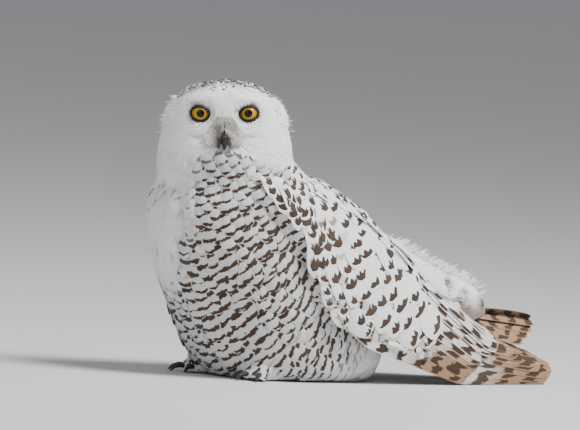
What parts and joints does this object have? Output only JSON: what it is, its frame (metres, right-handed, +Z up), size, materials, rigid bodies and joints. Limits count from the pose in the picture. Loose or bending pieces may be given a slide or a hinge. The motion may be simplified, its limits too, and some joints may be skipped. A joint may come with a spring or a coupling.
{
  "type": "snowy owl",
  "caption": "Life-size standing snowy owl with barred white plumage, head turned to its left, folded wings let down to the floor and a short tail.",
  "frame": {"origin": "middle of the bounding box at floor level, under the feet and wing tips", "axes": "+Y from the breast toward the tail, +X toward the bird's left wing, +Z up; the face looks between -Y and +X"},
  "size_m": [0.182, 0.5216, 0.3139],
  "materials": {
    "plumage": "soft white feathers with brown bars",
    "flight_feather": "satin feather vanes",
    "eye": "wet, glossy",
    "horn": "smooth black horn"
  },
  "bodies": {
    "root": {"trunk": "plumage", "neck": "plumage", "head": "plumage", "eye_right": "eye", "eye_left": "eye", "bill_upper": "horn", "bill_lower": "horn", "wing_left": "plumage", "secondaries_left": "flight_feather", "primaries_left": "flight_feather", "leg_left": "plumage", "foot_left": "plumage", "claw_left_1": "horn", "claw_left_2": "horn", "claw_left_3": "horn", "claw_left_4": "horn", "wing_right": "plumage", "secondaries_right": "flight_feather", "primaries_right": "flight_feather", "leg_right": "plumage", "foot_right": "plumage", "claw_right_1": "horn", "claw_right_2": "horn", "claw_right_3": "horn", "claw_right_4": "horn", "tail": "flight_feather"}
  },
  "joints": []
}
